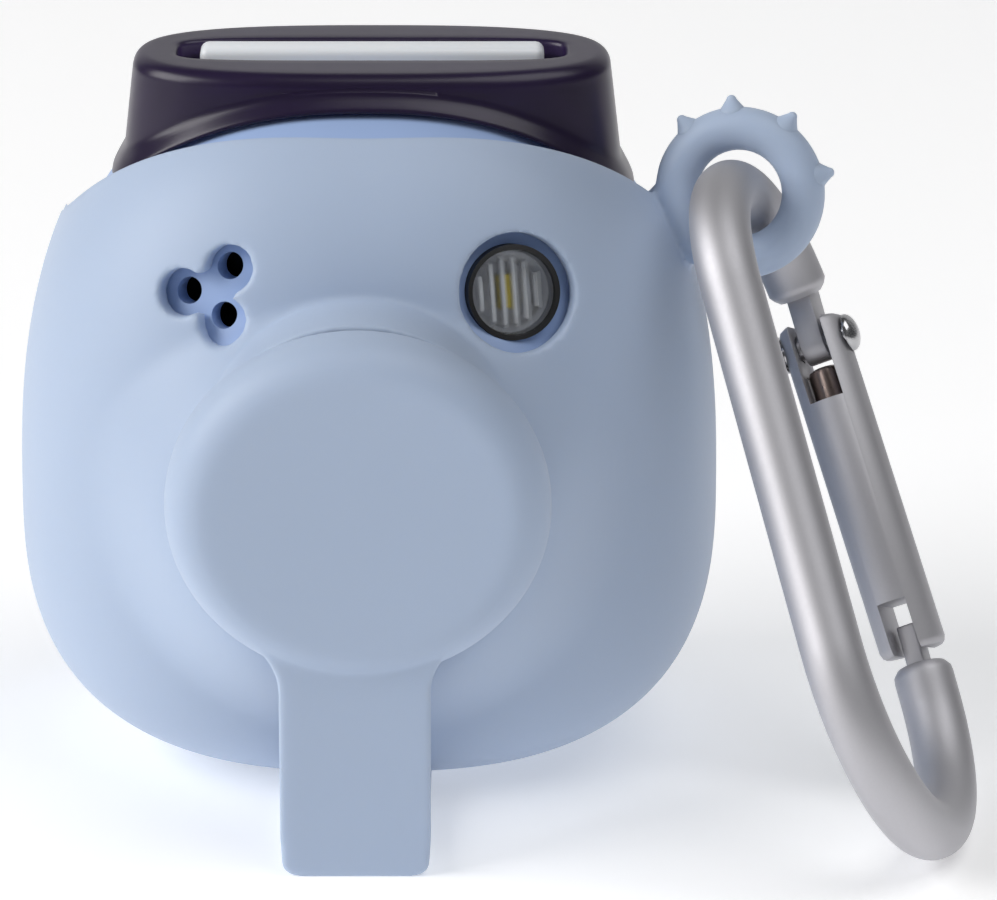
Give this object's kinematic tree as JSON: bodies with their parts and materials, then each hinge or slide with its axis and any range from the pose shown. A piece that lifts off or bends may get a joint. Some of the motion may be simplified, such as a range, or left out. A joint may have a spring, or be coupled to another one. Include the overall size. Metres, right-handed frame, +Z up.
{
  "type": "instant camera",
  "caption": "Palm-size rounded instant camera in a soft silicone case with a flap lens cap, a see-through top ring, a spiked lug and a snap-gate carabiner.",
  "frame": {"origin": "middle of the flat foot of the case, on the table", "axes": "+X to the viewer's right when the lens faces the viewer (the carabiner side), -Y out of the lens, +Z up"},
  "size_m": [0.0617, 0.0527, 0.0468],
  "materials": {
    "silicone": "satin",
    "cover": "satin",
    "rail": "satin",
    "smoke": "gloss",
    "black": "matte",
    "glass": "gloss",
    "circuit": "satin",
    "chip": "matte",
    "flex": "satin",
    "foil": "satin",
    "steel": "satin",
    "brass": "satin",
    "reflector": "gloss",
    "led": "satin",
    "aluminium": "bead-blasted satin",
    "button": "satin"
  },
  "bodies": {
    "camera": {"silicone_case": "silicone", "strap_root": "silicone", "carabiner_loop": "silicone", "front_cover": "cover", "rear_cover": "cover", "ring_rail": "rail", "lens_barrel": "black", "lens_front_glass": "glass", "lens_elements": "glass", "lens_spacer": "black", "image_sensor": "chip", "sensor_board": "circuit", "sensor_flex": "flex", "main_board": "circuit", "board_chips": "chip", "battery": "foil", "speaker": "black", "speaker_mesh": "black", "flash_window": "glass", "flash_reflector": "reflector", "flash_led": "led", "flash_board": "circuit", "shutter_switch": "black", "usb_connector": "steel", "card_socket": "steel", "tripod_nut": "brass", "cover_screws": "steel", "status_light": "glass"},
    "cap": {"lens_cap": "silicone", "cap_strap": "silicone"},
    "ring": {"detachable_ring": "smoke"},
    "shutter": {"shutter_button": "button"},
    "power": {"power_button": "button"},
    "mode": {"mode_slider": "black"},
    "card": {"memory_card": "black"},
    "port": {"port_cover": "silicone"},
    "hook": {"carabiner_body": "aluminium", "gate_rivet": "steel"},
    "gate": {"carabiner_gate": "aluminium", "gate_plunger": "steel", "gate_spring": "steel"}
  },
  "joints": [
    {"name": "cap_flap", "type": "hinge", "parent": "camera", "child": "cap", "pos_m": [-0.0003, -0.0266, 0.00175], "axis": [1, 0, 0], "range_deg": [0, 80], "stiffness_Nm_per_rad": 0.0006, "springref_deg": -8.59},
    {"name": "ring_lift", "type": "slide", "parent": "camera", "child": "ring", "axis": [0, 0, 1], "range_m": [0, 0.012]},
    {"name": "shutter_press", "type": "slide", "parent": "camera", "child": "shutter", "axis": [0, -1, 0], "range_m": [0, 0.0007], "stiffness_N_per_m": 1500, "springref_m": -0.0003},
    {"name": "power_press", "type": "slide", "parent": "camera", "child": "power", "axis": [-1, 0, 0], "range_m": [0, 0.0005], "stiffness_N_per_m": 1200, "springref_m": -0.0003},
    {"name": "mode_slide", "type": "slide", "parent": "camera", "child": "mode", "axis": [0, 1, 0], "range_m": [0, 0.0026]},
    {"name": "card_push", "type": "slide", "parent": "camera", "child": "card", "axis": [1, 0, 0], "range_m": [0, 0.0008], "stiffness_N_per_m": 400, "springref_m": -0.0004},
    {"name": "port_hinge", "type": "hinge", "parent": "camera", "child": "port", "pos_m": [-0.0195, 0.0041, 0.0116], "axis": [0, -1, 0], "range_deg": [0, 85]},
    {"name": "carabiner_swing", "type": "hinge", "parent": "camera", "child": "hook", "pos_m": [0.024, -0.00475, 0.03815], "axis": [-0.3565, -0.8122, 0.4617], "range_deg": [0, 50]},
    {"name": "gate_hinge", "type": "hinge", "parent": "hook", "child": "gate", "pos_m": [0.02913, -0.00265, 0.0274], "axis": [-0.9018, 0.1701, -0.3972], "range_deg": [0, 24], "stiffness_Nm_per_rad": 0.008, "springref_deg": -17.19}
  ]
}
